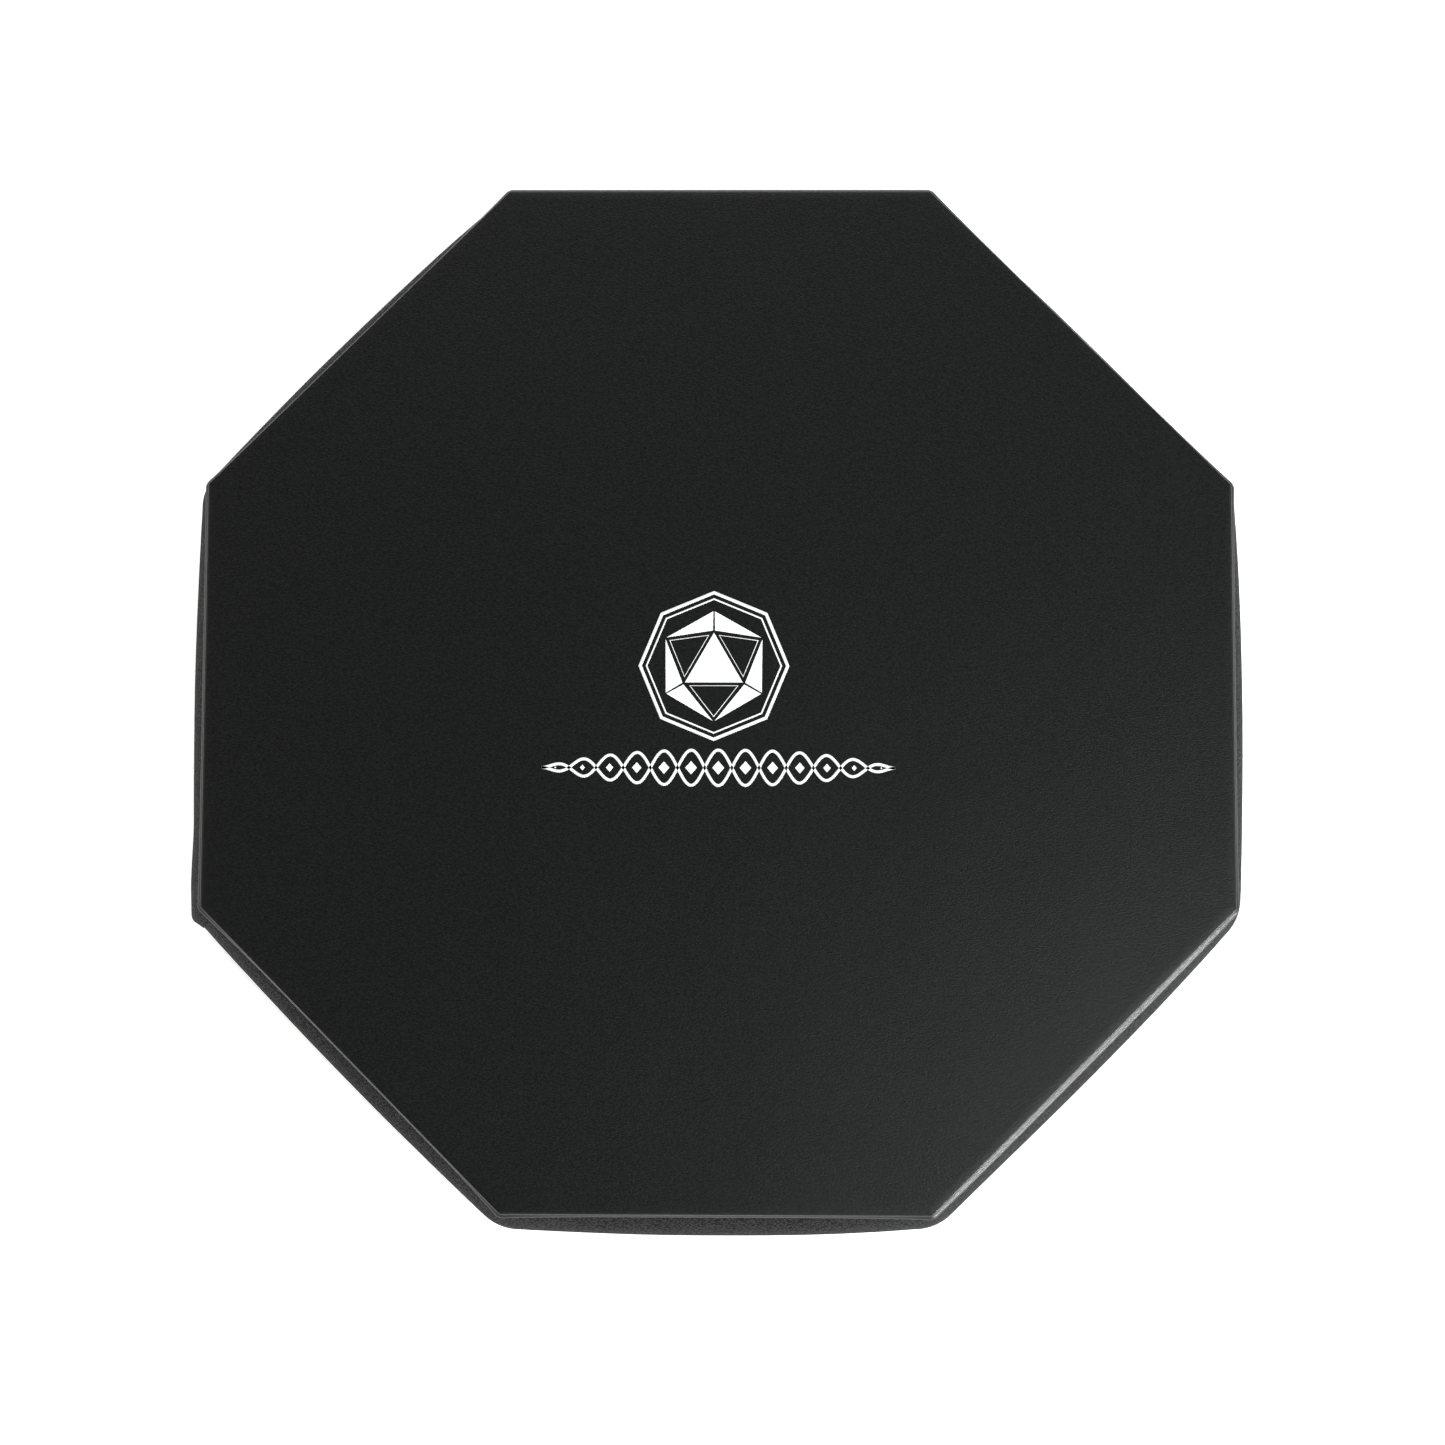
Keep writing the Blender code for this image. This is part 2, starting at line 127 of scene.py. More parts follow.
def make_skin(name, rows, ring=False):
    """A closed mesh object through rows of points, smooth but for its sharp edges."""
    count = len(rows[0])
    mesh = bpy.data.meshes.new(name)
    points = np.concatenate(rows)
    faces = []
    for low in range(len(rows) if ring else len(rows) - 1):
        high = (low + 1) % len(rows)
        for here in range(count):
            there = (here + 1) % count
            faces.append((low * count + here, low * count + there, high * count + there, high * count + here))
    if not ring:
        faces.append(tuple(range(count))[::-1])
        faces.append(tuple(range((len(rows) - 1) * count, len(rows) * count)))
    mesh.from_pydata(points.tolist(), [], faces)
    shape = bmesh.new()
    shape.from_mesh(mesh)
    bmesh.ops.recalc_face_normals(shape, faces=shape.faces)
    shape.to_mesh(mesh)
    shape.free()
    mesh.shade_smooth()
    mesh.set_sharp_from_angle(angle=SHARP_EDGE)
    skin = bpy.data.objects.new(name, mesh)
    bpy.context.scene.collection.objects.link(skin)
    return skin


def quarter(reach, height, radius, start, end, steps=6):
    """A section's curve, as (reach, height), between two angles in degrees."""
    turns = [math.radians(start + (end - start) * i / steps) for i in range(steps + 1)]
    return [(reach + radius * math.cos(t), height + radius * math.sin(t)) for t in turns]


def offset_line(line, thick):
    """The line moved this far to its left, which is the other face of a sheet that follows it."""
    points = np.array(line)
    step = np.diff(points, axis=0)
    heading = np.arctan2(step[:, 1], step[:, 0])
    into, out_of = np.append(heading[0], heading), np.append(heading, heading[-1])
    bend = np.remainder(out_of - into + math.pi, 2 * math.pi) - math.pi
    side_way = into + bend / 2 + math.pi / 2
    sideways = np.column_stack((np.cos(side_way), np.sin(side_way)))
    return points + (thick / np.cos(bend / 2))[:, None] * sideways


def ripple(points, size, height, seed):
    """Gentle unevenness: one number per point, up to about this height, with waves of about this size."""
    shift = Vector((seed * 7.3, seed * 3.1, seed * 5.7))
    return np.array([noise.noise(Vector(p) / size + shift) for p in points]) * height


print("skin helpers ready")

# %% [markdown]
# ## Geometry Nodes: a small builder
#
# What repeats or follows a line is made by Geometry Nodes, because one tree with a few named sizes replaces
# many nearly equal meshes. A tree is written out here as its nodes and links. Its inputs are set by their
# identifiers, since a modifier stores its values under those and not under the names that people read. The
# result is then turned into a plain mesh and the modifier goes away.

# %% Geometry Nodes builder
class Tree:
    """A Geometry Nodes tree with named inputs, which always ends in real geometry with one material."""

    def __init__(self, name, **inputs):
        self.group = bpy.data.node_groups.new(name, "GeometryNodeTree")
        sockets = self.group.interface
        sockets.new_socket("Geometry", in_out="INPUT", socket_type="NodeSocketGeometry")
        sockets.new_socket("Geometry", in_out="OUTPUT", socket_type="NodeSocketGeometry")
        self.keys = {}
        for label, kind in dict(inputs, Material="Material").items():
            made = sockets.new_socket(label, in_out="INPUT", socket_type="NodeSocket" + kind)
            self.keys[label] = made.identifier
        self.given = self.group.nodes.new("NodeGroupInput").outputs
        self.result = self.group.nodes.new("NodeGroupOutput").inputs

    def add(self, kind, links=(), **settings):
        """A node. Its links are (input, value or output) pairs, and it gives its first output."""
        node = self.group.nodes.new(kind)
        for key, value in settings.items():
            setattr(node, key, value)
        for socket, value in links:
            if isinstance(value, bpy.types.NodeSocket):
                self.group.links.new(value, node.inputs[socket])
            else:
                node.inputs[socket].default_value = value
        return node.outputs[0]

    def math(self, kind, first, second=0.0, third=0.0):
        return self.add("ShaderNodeMath", [(0, first), (1, second), (2, third)], operation=kind)

    def finish(self, *parts):
        joined = self.group.nodes.new("GeometryNodeJoinGeometry")
        for part in parts:
            self.group.links.new(part, joined.inputs[0])
        real = self.add("GeometryNodeRealizeInstances", [(0, joined.outputs[0])])
        covered = self.add("GeometryNodeSetMaterial", [(0, real), ("Material", self.given["Material"])])
        self.group.links.new(covered, self.result[0])

    def make(self, piece, finish, **values):
        """Runs the tree on a piece, and leaves the result as the piece's plain mesh."""
        modifier = piece.modifiers.new(self.group.name, "NODES")
        modifier.node_group = self.group
        modifier[self.keys["Material"]] = finish.material
        for label, value in values.items():
            modifier[self.keys[label]] = value
        graph = bpy.context.evaluated_depsgraph_get()
        made = bpy.data.meshes.new_from_object(piece.evaluated_get(graph), depsgraph=graph)
        piece.modifiers.remove(modifier)
        piece.data = made
        return piece


def empty_piece(name):
    piece = bpy.data.objects.new(name, bpy.data.meshes.new(name))
    bpy.context.scene.collection.objects.link(piece)
    return piece


print("Geometry Nodes builder ready")

# %% [markdown]
# ## Materials: shader helpers
#
# All finishes are procedural. They read Object coordinates, so a grain keeps its real size in metres on
# every piece. Fine relief is a Bump node, because modelling a grain of a few tenths of a millimetre would
# take millions of faces. A small builder keeps each material's nodes short to write.

# %% Shader helpers
class Finish:
    """A Principled material with helpers that add and join nodes."""

    def __init__(self, name, roughness, **sockets):
        self.material = bpy.data.materials.new(name)
        self.material.use_nodes = True
        self.tree = self.material.node_tree
        self.shader = self.tree.nodes["Principled BSDF"]
        self.shader.inputs["Roughness"].default_value = roughness
        for socket, value in sockets.items():
            self.shader.inputs[socket.replace("_", " ")].default_value = value
        self.place = self.add("ShaderNodeTexCoord").outputs["Object"]

    def add(self, kind, **settings):
        node = self.tree.nodes.new(kind)
        for key, value in settings.items():
            setattr(node, key, value)
        return node

    def join(self, source, target):
        self.tree.links.new(source, target)

    def stretched(self, scale):
        """The piece's own coordinates, stretched along each axis."""
        mapping = self.add("ShaderNodeMapping")
        mapping.inputs["Scale"].default_value = scale
        self.join(self.place, mapping.inputs["Vector"])
        return mapping.outputs["Vector"]

    def speckle(self, size, detail=2.0, rough=0.5, place=None):
        """Noise whose lumps are about this wide, in metres."""
        node = self.add("ShaderNodeTexNoise")
        node.inputs["Scale"].default_value = 1 / size
        node.inputs["Detail"].default_value = detail
        node.inputs["Roughness"].default_value = rough
        self.join(place or self.place, node.inputs["Vector"])
        return node.outputs["Fac"]

    def cells(self, size):
        """Voronoi cells about this wide, as the distance from each cell's middle."""
        node = self.add("ShaderNodeTexVoronoi", feature="F1")
        node.inputs["Scale"].default_value = 1 / size
        self.join(self.place, node.inputs["Vector"])
        return node.outputs["Distance"]

    def spread(self, value, low, high, to_low=0.0, to_high=1.0, smooth=False):
        """Stretches one range of values over another."""
        node = self.add("ShaderNodeMapRange")
        node.interpolation_type = "SMOOTHSTEP" if smooth else "LINEAR"
        for socket, number in zip(("From Min", "From Max", "To Min", "To Max"), (low, high, to_low, to_high)):
            node.inputs[socket].default_value = number
        self.join(value, node.inputs["Value"])
        return node.outputs["Result"]

    def sum(self, first, second):
        node = self.add("ShaderNodeMath", operation="ADD")
        self.join(first, node.inputs[0])
        self.join(second, node.inputs[1])
        return node.outputs["Value"]

    def colour(self, value, low, high):
        """A colour between two, by a value from 0 to 1."""
        node = self.add("ShaderNodeMix", data_type="RGBA")
        self.join(value, node.inputs["Factor"])
        node.inputs["A"].default_value = (*low, 1)
        node.inputs["B"].default_value = (*high, 1)
        self.join(node.outputs["Result"], self.shader.inputs["Base Color"])

    def relief(self, height, depth, below=None):
        """A Bump node of this depth in metres. Several can follow each other."""
        node = self.add("ShaderNodeBump")
        node.inputs["Distance"].default_value = depth
        self.join(height, node.inputs["Height"])
        if below is not None:
            self.join(below, node.inputs["Normal"])
        self.join(node.outputs["Normal"], self.shader.inputs["Normal"])
        return node.outputs["Normal"]

    def cover(self, piece):
        piece.data.materials.clear()
        piece.data.materials.append(self.material)


print("shader helpers ready")

# %% [markdown]
# ## Smooth leatherette
#
# The lid's sheet is a coated cloth with a very fine grain: short creases about a millimetre long that all run
# roughly one way, from the roller that pressed them. Stretched noise gives the creases, and a second, finer
# noise the tooth between them. Broad, shallow waves make the big flat face catch light unevenly, as a sheet
# glued over card does.

# %% Smooth leatherette material
smooth = Finish("smooth_leatherette", roughness=0.38, IOR=1.4, Specular_IOR_Level=0.3)
creases = smooth.speckle(0.9 * MM, detail=3, rough=0.6, place=smooth.stretched((1.0, 2.1, 1.0)))
tooth = smooth.speckle(0.35 * MM, detail=1)
waves = smooth.speckle(38 * MM, detail=1, rough=0.4)
layer = smooth.relief(waves, 0.25 * MM)
layer = smooth.relief(creases, 0.055 * MM, below=layer)
smooth.relief(tooth, 0.03 * MM, below=layer)
# Painted highlight and shade: crease tops painted lighter, hollows darker, for how the grain catches light.
smooth.colour(smooth.spread(creases, 0.38, 0.66), (0.0008, 0.0012, 0.001), (0.0045, 0.0051, 0.0049))
smooth.join(smooth.spread(creases, 0.35, 0.65, 0.36, 0.4), smooth.shader.inputs["Roughness"])
print("smooth leatherette: 0.9 mm creases")

# %% [markdown]
# ## Pebbled leatherette
#
# The wall's sheet has a deeper grain of small rounded pebbles, with creases between them. They are drawn
# 0.72 mm apart, a chosen spacing. Voronoi cells become pebbles once the distance from each cell's
# middle is turned into a dome.

# %% Pebbled leatherette material
pebbled = Finish("pebbled_leatherette", roughness=0.7, IOR=1.4, Specular_IOR_Level=0.08)
domes = pebbled.spread(pebbled.cells(0.72 * MM), 0.75, 0.1, smooth=True)
lumps = pebbled.speckle(2.4 * MM, detail=2)
layer = pebbled.relief(lumps, 0.12 * MM)
pebbled.relief(domes, 0.11 * MM, below=layer)
# Painted highlight and shade: pebble tops painted lighter, the creases between them much darker.
pebbled.colour(domes, (0.0006, 0.0006, 0.0006), (0.0125, 0.013, 0.0125))
pebbled.join(pebbled.spread(domes, 0, 1, 0.7, 0.5), pebbled.shader.inputs["Roughness"])
print("pebbled leatherette: 0.72 mm pebbles")

# %% [markdown]
# ## White print
#
# The mark on the lid is a thin layer of white ink. A fine relief stands for the leatherette's grain under it,
# and slightly greyer specks for places where it is worn.

# %% White print material
ink = Finish("white_print", roughness=0.55, IOR=1.4)
wear = ink.speckle(0.5 * MM, detail=3, rough=0.6)
ink.relief(wear, 0.015 * MM)
ink.colour(ink.spread(wear, 0.3, 0.45), (0.62, 0.62, 0.62), (0.85, 0.85, 0.85))
print("white print")

# %% [markdown]
# ## Velvet, foam, board and card
#
# Velvet is a short pile that is dark when seen from above and lighter at a grazing angle, which is what the
# Sheen layer does. Patches where the pile leans are also painted a little lighter or darker in colour, a
# painted sheen for how the leaning pile catches light. The boards, the foam and the card are hidden in the
# closed box, so their finishes are simpler, but each still has its own texture.

# %% Inner materials
velvet = Finish("velvet", roughness=0.9, IOR=1.35, Sheen_Weight=0.55, Sheen_Roughness=0.35)
velvet.shader.inputs["Sheen Tint"].default_value = (0.55, 0.56, 0.62, 1)
lean = velvet.speckle(22 * MM, detail=3, place=velvet.stretched((1.0, 0.6, 1.0)))
pile = velvet.speckle(0.4 * MM, detail=2)
velvet.relief(pile, 0.12 * MM, below=velvet.relief(lean, 0.5 * MM))
# Painted sheen: the lean patches make the colour lighter or darker, for how the leaning pile catches light.
velvet.colour(velvet.sum(velvet.spread(lean, 0.3, 0.7, 0, 0.6), velvet.spread(pile, 0.3, 0.7, 0, 0.4)),
              (0.012, 0.012, 0.014), (0.034, 0.034, 0.04))

foam = Finish("foam", roughness=0.95)
pores = foam.spread(foam.cells(0.8 * MM), 0.1, 0.6)
foam.relief(pores, 0.2 * MM)
# Painted shade: the pores, the foam's hollows, are painted darker than the walls between them.
foam.colour(pores, (0.08, 0.08, 0.085), (0.2, 0.2, 0.21))

board = Finish("fibreboard", roughness=0.85)
fibres = board.speckle(0.8 * MM, detail=6, rough=0.7, place=board.stretched((1.0, 1.0, 2.5)))
board.relief(fibres, 0.06 * MM)
board.colour(board.spread(fibres, 0.3, 0.7), (0.25, 0.165, 0.095), (0.42, 0.3, 0.19))

card = Finish("grey_card", roughness=0.9)
flecks = card.speckle(1.1 * MM, detail=6, rough=0.75)
card.relief(flecks, 0.03 * MM)
card.colour(card.spread(flecks, 0.3, 0.7), (0.22, 0.215, 0.2), (0.36, 0.35, 0.33))
print("velvet, foam, fibreboard and card")

# %% [markdown]
# ## The padded wall
#
# The wall's skin is one sheet: a hem under the boards, a padded face that swells outward, a tight turn over
# the rim and a fold down the inside. The face is fullest halfway up and halfway along each side. Cloth
# simulation is the usual way to swell a pad. A formula is used here instead, built as rows round the octagon,
# because it lets each side's fullness be set by itself. So nothing here is simulated. The fullest sides stand
# out 2 mm more than the flattest. Small pulls at the corners and shallow waves along the sides keep it from
# looking like plastic.

# %% Sizes of the wall's skin
WALL_SHEET = 0.9 * MM
GLUE_GAP = 0.3 * MM
RIM_SLACK = 0.4 * MM
RIM_ROUND = 1.5 * MM
FOLD_ROUND = 1.3 * MM
FOLD_DEPTH = 11.0 * MM
RIM_CORNER = 3.0 * MM
BULGE_CORNER = 16.0 * MM
SWELL = 4.2 * MM
BOW = 1.4 * MM
SWELL_POWER = 1.6
FULLER_BY = dict(right=0.0, back_right=-0.6, back=0.0, back_left=1.4, left=1.1, front_left=1.1, front=1.4,
                 front_right=0.2)
LAPPED_CORNER = 6.0 * MM
SHARPEST = 0.2 * MM
FACE_STEPS = 30
PULL_DEPTH = 0.22 * MM
WAVE_DEPTH = 0.18 * MM
WAVE_SIZE = 26 * MM

rim_reach = board_reach + GLUE_GAP + WALL_SHEET + RIM_SLACK
fold_reach = board_inner - GLUE_GAP - WALL_SHEET
face_low, face_high = hem_low + RIM_ROUND, rim_high - RIM_ROUND


def swell_at(height):
    share = abs(2 * (height - face_low) / (face_high - face_low) - 1)
    return max(0.0, 1 - share**SWELL_POWER)


def by_side(values, sharpness):
    """One value per station from one per side, which meets the next side's value halfway at the corner."""
    own = np.array([values[name] for name in SIDE_NAMES])
    before, after = np.roll(own, 1), np.roll(own, -1)
    neighbour = np.where(fine.share < 0, before[fine.side], after[fine.side])
    blend = np.abs(fine.share) ** sharpness / 2
    return own[fine.side] * (1 - blend) + neighbour * blend


def corner_by_station():
    """The bulge's corner radius: tighter at the front left corner, where the sheet's ends are pulled over."""
    corner = np.full(len(fine.side), BULGE_CORNER)
    to_lap = np.where(fine.side == SIDE_NAMES.index("left"), (1 + fine.share) / 2, 0)
    to_lap += np.where(fine.side == SIDE_NAMES.index("front_left"), (1 - fine.share) / 2, 0)
    return corner + (LAPPED_CORNER - BULGE_CORNER) * to_lap


fuller = by_side(FULLER_BY, sharpness=4) * MM
bulge_corner = corner_by_station()


def wall_row(reach, height, swell):
    """One row of the wall's skin, on its surface or under it."""
    depth = rim_reach + SWELL * swell - reach
    corner = np.maximum(SHARPEST, RIM_CORNER + (bulge_corner - RIM_CORNER) * swell - depth)
    return fine.row(reach + fuller * swell, height, corner, BOW * swell)


print(f"the padded face runs from {face_low / MM:.1f} to {face_high / MM:.1f} mm")

# %% Make the wall's skin
def wall_line():
    """The skin's outer line as (reach, height), with the swell at each point."""
    edge = rim_reach - RIM_ROUND
    below = [(board_inner, hem_low)] + quarter(edge, face_low, RIM_ROUND, -90, 0)
    turns = [math.pi * i / FACE_STEPS for i in range(1, FACE_STEPS)]
    heights = [face_low + (face_high - face_low) * (1 - math.cos(turn)) / 2 for turn in turns]
    face = [(rim_reach + SWELL * swell_at(h), h) for h in heights]
    above = quarter(edge, face_high, RIM_ROUND, 0, 90)
    above += quarter(fold_reach + FOLD_ROUND, rim_high - FOLD_ROUND, FOLD_ROUND, 90, 180)
    above.append((fold_reach, rim_high - FOLD_DEPTH))
    swells = [0.0] * len(below) + [swell_at(h) for h in heights] + [0.0] * len(above)
    return below + face + above, swells


def pulls(row, swell):
    """How far the sheet is drawn in: upright pulls beside each corner, strongest near the rims, and waves."""
    near_corner = np.abs(fine.share) ** 6
    upright = np.sin(fine.turn * 9 + fine.share * 41) * 0.5 + 0.5
    drawn = PULL_DEPTH * near_corner * upright * (1 - swell) ** 0.5 * (swell > 0)
    return drawn + WAVE_DEPTH * swell * (0.5 + ripple(row, WAVE_SIZE, 0.5, seed=1))


line, swells = wall_line()
outer_rows = []
for (reach, height), swell in zip(line, swells):
    row = wall_row(reach, height, swell)
    row[:, :2] -= pulls(row, swell)[:, None] * fine.way
    outer_rows.append(row)
inner_line = offset_line(line, WALL_SHEET)
inner_rows = [wall_row(*point, swell) for point, swell in zip(inner_line[::-1], swells[::-1])]
wall = make_skin("wall_skin", outer_rows + inner_rows, ring=True)
pebbled.cover(wall)
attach(wall, "tray")
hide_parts("wall_cover", *(f"wall_padding_{side + 1}" for side in range(SIDES)))
print(f"wall skin: {len(wall.data.polygons)} faces")

# %% [markdown]
# ## The lapped end
#
# The wall's sheet is one long strip, and its end is glued over its start. It comes along the left side,
# turns the front left corner more sharply than the padding under it, and ends just past it in a small step.
# A strip of plain thickness would show a step at its start too, where the real sheet simply goes on. So the
# strip starts below the wall's surface, rises through it, and only then runs at its full height. Its end is
# skived thin. Each point of its underside lies just under the wall's nearest point.

# %% Make the lapped end
LAP_SHEET = 0.85 * MM
LAP_RUN = 30.0 * MM
LAP_RISE = 22.0 * MM
LAP_PAST = 4.2 * MM
LAP_CORNER = 2.4 * MM
LAP_SKIVED = 0.35
LAP_UNDER = 0.12 * MM
LAP_TURN = 9 * HALF_SIDE  # the corner between the left and the front left side
LAP_ROWS = 31
RUN_STEPS = 18
CORNER_STEPS = 9
PAST_STEPS = 3


def on_side(along, out, facing):
    """A point beside the octagon, this far out from the middle and this far along the side."""
    cos, sin = math.cos(facing), math.sin(facing)
    return (out * cos - along * sin, out * sin + along * cos)


def lap_outside(reach, bow):
    """The strip's outer line at one height, with how far each point has risen: 0 is under the surface."""
    half = reach * math.tan(HALF_SIDE)
    cut = LAP_CORNER * math.tan(HALF_SIDE)
    left, front = LAP_TURN - HALF_SIDE, LAP_TURN + HALF_SIDE
    line = []
    for i in range(RUN_STEPS + 1):
        along = half - LAP_RUN + (LAP_RUN - cut) * i / RUN_STEPS
        risen = min(1.0, (along - half + LAP_RUN) / LAP_RISE)
        place = on_side(along, reach + bow * (1 - (along / half) ** 2), left)
        line.append((place, risen * risen * (3 - 2 * risen)))
    centre = np.array(on_side(half - cut, reach - LAP_CORNER, left))
    for i in range(1, CORNER_STEPS):
        angle = left + 2 * HALF_SIDE * i / CORNER_STEPS
        line.append((tuple(centre + LAP_CORNER * np.array((math.cos(angle), math.sin(angle)))), 1.0))
    for i in range(PAST_STEPS + 1):
        along = cut + (LAP_PAST - cut) * i / PAST_STEPS
        place = on_side(along - half, reach + bow * (1 - (1 - along / half) ** 2), front)
        line.append((place, 1.0 - (1 - LAP_SKIVED) * i / PAST_STEPS))
    return line


def wall_below(point, reach, corner, bow):
    """The nearest point of the wall's surface at this height, seen from above."""
    middle = (reach - corner) / math.cos(HALF_SIDE) * np.array((math.cos(LAP_TURN), math.sin(LAP_TURN)))
    away = np.array(point) - middle
    angle = (math.atan2(away[1], away[0]) - LAP_TURN + math.pi) % (2 * math.pi) - math.pi
    if abs(angle) < HALF_SIDE:
        return middle + corner * away / np.linalg.norm(away)
    facing = LAP_TURN + math.copysign(HALF_SIDE, angle)
    along = -point[0] * math.sin(facing) + point[1] * math.cos(facing)
    straight = (reach - corner) * math.tan(HALF_SIDE)
    return np.array(on_side(along, reach + bow * (1 - (along / straight) ** 2), facing))


lap_rows = []
for step in range(LAP_ROWS):
    height = face_low + (face_high - face_low) * step / (LAP_ROWS - 1)
    swell = swell_at(height)
    surface = rim_reach + (SWELL + FULLER_BY["left"] * MM) * swell
    corner = RIM_CORNER + (LAPPED_CORNER - RIM_CORNER) * swell
    outside, under = [], []
    for point, risen in lap_outside(surface + LAP_SHEET, BOW * swell):
        below = wall_below(point, surface, corner, BOW * swell)
        lift = np.array(point) - below
        outward = lift / np.linalg.norm(lift)
        under.append(below - 2 * LAP_UNDER * outward)
        outside.append(below - LAP_UNDER * outward + risen * (lift + LAP_UNDER * outward))
    ring = np.array(outside + under[::-1])
    lap_rows.append(np.column_stack((ring, np.full(len(ring), height))))
lap = make_skin("wall_lapped_end", lap_rows)
pebbled.cover(lap)
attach(lap, "tray")
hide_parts("wall_cover_lap")
print(f"lapped end: {len(lap.data.polygons)} faces")

# %% [markdown]
# ## The lid
#
# The lid's sheet is drawn over a stiff board, down its edge and turned in underneath. Its top edge is crisp,
# and the narrow side face flares outward to a lower crease, where the sheet turns under. How far the crease
# stands out differs from side to side, and it is the same at every corner.

# %% Make the lid's skin
LID_SHEET = 0.8 * MM
LID_CORNER = 1.6 * MM
TOP_ROUND = 0.75 * MM
CREASE_ROUND = 0.4 * MM
HEM_WIDTH = 12.0 * MM
lid_top_reach = lid_board_reach + GLUE_GAP + LID_SHEET
FLARE_MIDDLE = dict(right=1.0, back_right=0.85, back=1.25, back_left=0.9, left=1.1, front_left=0.6, front=0.8,
                    front_right=1.65)
FLARE_CORNER = 1.25 * MM
SIDE_FACE = ((0.03, 2.6), (0.06, 1.95), (0.12, 1.75), (0.5, 1.27), (0.9, 0.78))  # share of flare, mm up
MITRE_FOLD = 0.12 * MM
HEM_FOLD = 0.1 * MM
TOP_MARGIN = 30 * MM
EDGE_MARGIN = 3 * MM


def flare():
    """How far the lower crease stands out at each station."""
    middle = np.array([FLARE_MIDDLE[name] for name in SIDE_NAMES])[fine.side] * MM
    near_corner = np.abs(fine.share) ** 5
    return middle + (FLARE_CORNER - middle) * near_corner


def lid_row(reach, height, corner_fold=0.0):
    """One row of the lid's skin. A corner fold draws the corner's middle in along its mitre."""
    corner = np.maximum(SHARPEST, LID_CORNER + reach - lid_top_reach)
    row = fine.row(reach, height, corner)
    mitre = np.abs(np.remainder(fine.turn, 2 * HALF_SIDE) - HALF_SIDE) < 0.03
    row[:, :2] -= (corner_fold * mitre)[:, None] * fine.way
    return row


stand_out = flare()
crease_line = quarter(-CREASE_ROUND, CREASE_ROUND, CREASE_ROUND, -90, 0)
edge_line = quarter(-TOP_ROUND, lid_high - lid_low - TOP_ROUND, TOP_ROUND, 0, 90)
hem_end = lid_board_reach - HEM_WIDTH
rows = [lid_row(lid_top_reach - TOP_MARGIN, lid_high), lid_row(lid_top_reach - EDGE_MARGIN, lid_high)]
rows += [lid_row(lid_top_reach + out, lid_low + up) for out, up in edge_line[::-1]]
rows += [lid_row(lid_top_reach + stand_out * share, lid_low + up * MM, MITRE_FOLD) for share, up in SIDE_FACE]
rows += [lid_row(lid_top_reach + stand_out + out, lid_low + up, MITRE_FOLD) for out, up in crease_line[::-1]]
rows += [lid_row(lid_top_reach - EDGE_MARGIN, lid_low, HEM_FOLD), lid_row(hem_end, lid_low)]
rows += [lid_row(hem_end, lid_low + LID_SHEET), lid_row(lid_board_reach + GLUE_GAP, lid_low + LID_SHEET)]
rows += [lid_row(lid_board_reach + GLUE_GAP, lid_high - LID_SHEET)]
lid = make_skin("lid_skin", rows)
smooth.cover(lid)
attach(lid, "lid")
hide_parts("lid_cover")
print(f"lid skin: {len(lid.data.polygons)} faces, crease up to {stand_out.max() / MM:.2f} mm out")

# %% [markdown]
# ## The printed mark
#
# A twenty-sided die in a double octagonal frame is printed a little above the lid's middle. The frame's
# lines follow a path, so a tree sweeps a flat stroke along octagons. Seen straight on a face, ten of the
# die's facets show: its outline is a hexagon and its nearest facet a triangle. Seven are filled, each drawn
# in a little from its edges. The other three stay dark inside thin lines, which gives the die its relief.

# %% Strokes along outlines
INK_LOW = lid_high + 0.01 * MM
INK_THICK = 0.03 * MM
MARK_CENTRE = Vector((-1.2 * MM, 8.6 * MM, INK_LOW))
FRAME_RADIUS = 21.8 * MM
FRAME_LINE = 1.0 * MM
INNER_FRAME_RADIUS = 19.9 * MM
INNER_FRAME_LINE = 0.5 * MM

stroke = Tree("flat_stroke", Width="Float", Thickness="Float")
outline = stroke.add("GeometryNodeMeshToCurve", [(0, stroke.given["Geometry"])])
outline = stroke.add("GeometryNodeSetCurveNormal", [(0, outline)], mode="Z_UP")
profile = stroke.add("GeometryNodeCurvePrimitiveQuadrilateral",
                     [("Width", stroke.given["Width"]), ("Height", stroke.given["Thickness"])])
stroke.finish(stroke.add("GeometryNodeCurveToMesh", [(0, outline), (1, profile), ("Fill Caps", True)]))


def make_frame(name, radius, width):
    """One octagonal line of the frame, with a corner at the top and at every eighth of a turn."""
    piece = empty_piece(name)
    turns = [2 * math.pi * i / SIDES for i in range(SIDES)]
    centre = MARK_CENTRE + Vector((0, 0, INK_THICK / 2))
    corners = [tuple(centre + Vector((radius * math.cos(t), radius * math.sin(t), 0))) for t in turns]
    piece.data.from_pydata(corners, [(i, (i + 1) % SIDES) for i in range(SIDES)], [])
    return stroke.make(piece, ink, Width=width, Thickness=INK_THICK)


frames = [make_frame("mark_frame_outer", FRAME_RADIUS, FRAME_LINE),
          make_frame("mark_frame_inner", INNER_FRAME_RADIUS, INNER_FRAME_LINE)]
print(f"frame lines: {sum(len(piece.data.polygons) for piece in frames)} faces")

# %% The die's facets
DIE_RADIUS = 16.6 * MM
NEAR_SHARE = 1 / ((1 + math.sqrt(5)) / 2)  # the golden ratio sets the nearest facet's size
FACET_GAP = 0.42 * MM
DARK_FACET_SHARE = 0.8
DARK_FACET_LINE = 0.35 * MM


def on_mark(radius, turn):
    """A point of the mark, this far from its centre."""
    return MARK_CENTRE + Vector((radius * math.cos(turn), radius * math.sin(turn), 0))


